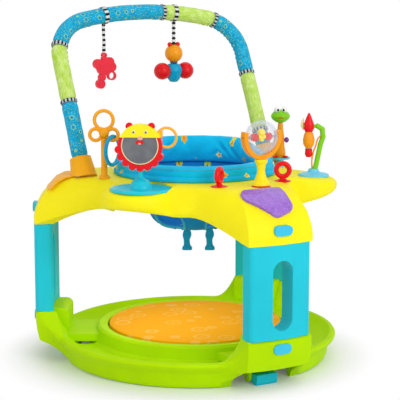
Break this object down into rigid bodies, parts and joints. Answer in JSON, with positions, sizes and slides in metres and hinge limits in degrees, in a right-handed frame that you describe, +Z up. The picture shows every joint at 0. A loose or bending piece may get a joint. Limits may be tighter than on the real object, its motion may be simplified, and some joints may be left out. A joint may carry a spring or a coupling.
{
  "type": "baby activity saucer frame",
  "caption": "Standing baby activity frame: dish base with sprung floor pad, slotted columns, lobed toy tray, turning fabric seat and padded toy arch.",
  "frame": {"origin": "middle of the outline on the floor", "axes": "+Z up; -Y towards the viewer of the picture; the seat turns about a vertical axis just beside the origin on +X"},
  "size_m": [0.7074, 0.7148, 0.8129],
  "materials": {
    "base_green": "satin moulded plastic",
    "pad_orange": "printed soft plastic",
    "column_blue": "satin moulded plastic",
    "button_blue": "satin moulded plastic",
    "foot_blue": "matt plastic",
    "pin_steel": "drawn",
    "tray_yellow": "satin moulded plastic",
    "lens_purple": "frosted translucent plastic",
    "saddle_orange": "satin moulded plastic",
    "tube_white": "powder coat",
    "sleeve_blue": "printed padded cloth",
    "sleeve_green": "printed padded cloth",
    "cuff_stripe": "striped binding",
    "seat_plastic": "satin moulded plastic",
    "seat_cloth": "printed cloth",
    "roll_cloth": "padded cloth",
    "toy_red": "gloss",
    "toy_yellow": "gloss",
    "toy_orange": "gloss",
    "toy_cyan": "gloss",
    "toy_green": "gloss",
    "toy_blue": "gloss",
    "toy_purple": "gloss",
    "toy_white": "gloss",
    "mirror_foil": "safety mirror",
    "ball_clear": "clear plastic",
    "strap_black": "woven ribbon"
  },
  "bodies": {
    "frame": {"base_saucer": "base_green", "column_left": "column_blue", "column_front": "column_blue", "column_rear": "column_blue", "foot_pins": "pin_steel", "tray": "tray_yellow", "light_lens": "lens_purple", "arch_saddle_left": "saddle_orange", "arch_saddle_rear": "saddle_orange", "arch_tube": "tube_white", "arch_sleeve_blue": "sleeve_blue", "arch_sleeve_green": "sleeve_green", "arch_cuffs": "cuff_stripe", "loop_left": "toy_red", "loop_right": "toy_red", "mirror_base": "toy_cyan", "spinner_foot": "toy_red", "spinner_post": "toy_yellow", "spinner_fork": "toy_orange", "frog_plate": "toy_cyan", "hook_base": "toy_cyan", "hook_stem": "toy_green", "flower_stem": "toy_orange"},
    "seat": {"seat_ring": "seat_plastic", "seat_retainer": "seat_plastic", "seat_bucket": "seat_cloth", "seat_roll": "roll_cloth", "seat_tabs": "roll_cloth"},
    "floor_pad": {"bounce_pad": "pad_orange"},
    "base_button_left": {"base_button_left": "button_blue"},
    "tray_button_left": {"tray_button_left": "button_blue"},
    "foot_left": {"foot_left": "foot_blue"},
    "base_button_front": {"base_button_front": "button_blue"},
    "tray_button_front": {"tray_button_front": "button_blue"},
    "foot_front": {"foot_front": "foot_blue"},
    "base_button_rear": {"base_button_rear": "button_blue"},
    "tray_button_rear": {"tray_button_rear": "button_blue"},
    "foot_rear": {"foot_rear": "foot_blue"},
    "mirror": {"mirror_body": "toy_red", "mirror_head": "toy_yellow", "mirror_glass": "mirror_foil", "mirror_tongue": "toy_red"},
    "spinner": {"spinner_axle": "pin_steel", "spinner_ball": "ball_clear", "spinner_figure": "toy_yellow", "spinner_wings": "toy_red"},
    "frog": {"frog_body": "toy_orange", "frog_head": "toy_green", "frog_eyes": "toy_white", "frog_knob": "toy_purple"},
    "hook_swinger": {"hook_toy": "toy_orange", "hook_tips": "toy_red"},
    "flower": {"flower_loops": "toy_orange"},
    "ring": {"hang_ring": "toy_blue"},
    "teether_swinger": {"teether_strap": "strap_black", "teether": "toy_red"},
    "bug": {"bug_chain": "strap_black", "bug_head": "toy_orange", "bug_body": "toy_blue", "bug_wings": "toy_red"}
  },
  "joints": [
    {"name": "seat_spin", "type": "hinge", "parent": "frame", "child": "seat", "pos_m": [0.02375, 0, 0.431], "axis": [0, 0, 1], "continuous": true},
    {"name": "pad_bounce", "type": "slide", "parent": "frame", "child": "floor_pad", "axis": [0, 0, -1], "range_m": [0, 0.007], "stiffness_N_per_m": 6000, "springref_m": -0.005},
    {"name": "base_button_left_press", "type": "slide", "parent": "frame", "child": "base_button_left", "axis": [1, 0, 0], "range_m": [0, 0.004], "stiffness_N_per_m": 600, "springref_m": -0.002},
    {"name": "tray_button_left_press", "type": "slide", "parent": "frame", "child": "tray_button_left", "axis": [1, 0, 0], "range_m": [0, 0.004], "stiffness_N_per_m": 600, "springref_m": -0.002},
    {"name": "foot_left_fold", "type": "hinge", "parent": "frame", "child": "foot_left", "pos_m": [-0.26025, 0, 0.015], "axis": [0, 1, 0], "range_deg": [0, 35]},
    {"name": "base_button_front_press", "type": "slide", "parent": "frame", "child": "base_button_front", "axis": [-0.5, 0.866, 0], "range_m": [0, 0.004], "stiffness_N_per_m": 600, "springref_m": -0.002},
    {"name": "tray_button_front_press", "type": "slide", "parent": "frame", "child": "tray_button_front", "axis": [-0.5, 0.866, 0], "range_m": [0, 0.004], "stiffness_N_per_m": 600, "springref_m": -0.002},
    {"name": "foot_front_fold", "type": "hinge", "parent": "frame", "child": "foot_front", "pos_m": [0.16575, -0.24595, 0.015], "axis": [-0.866, -0.5, 0], "range_deg": [0, 35]},
    {"name": "base_button_rear_press", "type": "slide", "parent": "frame", "child": "base_button_rear", "axis": [-0.5, -0.866, 0], "range_m": [0, 0.004], "stiffness_N_per_m": 600, "springref_m": -0.002},
    {"name": "tray_button_rear_press", "type": "slide", "parent": "frame", "child": "tray_button_rear", "axis": [-0.5, -0.866, 0], "range_m": [0, 0.004], "stiffness_N_per_m": 600, "springref_m": -0.002},
    {"name": "foot_rear_fold", "type": "hinge", "parent": "frame", "child": "foot_rear", "pos_m": [0.16575, 0.24595, 0.015], "axis": [0.866, -0.5, 0], "range_deg": [0, 35]},
    {"name": "mirror_swivel", "type": "hinge", "parent": "frame", "child": "mirror", "pos_m": [-0.09362, -0.22074, 0.48045], "axis": [0, 0, 1], "continuous": true},
    {"name": "spinner_spin", "type": "hinge", "parent": "frame", "child": "spinner", "pos_m": [0.16686, -0.22903, 0.538], "axis": [0.848, 0.5299, 0], "continuous": true},
    {"name": "frog_swivel", "type": "hinge", "parent": "frame", "child": "frog", "pos_m": [0.22924, 0.1493, 0.437], "axis": [0, 0, 1], "continuous": true},
    {"name": "hook_swing", "type": "hinge", "parent": "frame", "child": "hook_swinger", "pos_m": [0.28675, 0, 0.53745], "axis": [1, 0, 0], "range_deg": [-40, 40]},
    {"name": "flower_spin", "type": "hinge", "parent": "frame", "child": "flower", "pos_m": [-0.18108, -0.09551, 0.532], "axis": [0, 0, 1], "continuous": true},
    {"name": "ring_swing", "type": "hinge", "parent": "flower", "child": "ring", "pos_m": [-0.16208, -0.09551, 0.515], "axis": [1, 0, 0], "range_deg": [-20, 12]},
    {"name": "teether_swing", "type": "hinge", "parent": "frame", "child": "teether_swinger", "pos_m": [-0.19696, 0.15507, 0.78708], "axis": [0.8272, 0.5469, 0.1287], "range_deg": [-25, 25]},
    {"name": "bug_swing", "type": "hinge", "parent": "frame", "child": "bug", "pos_m": [-0.03087, 0.253, 0.79087], "axis": [0.8827, 0.4613, -0.0897], "range_deg": [-25, 25]}
  ]
}
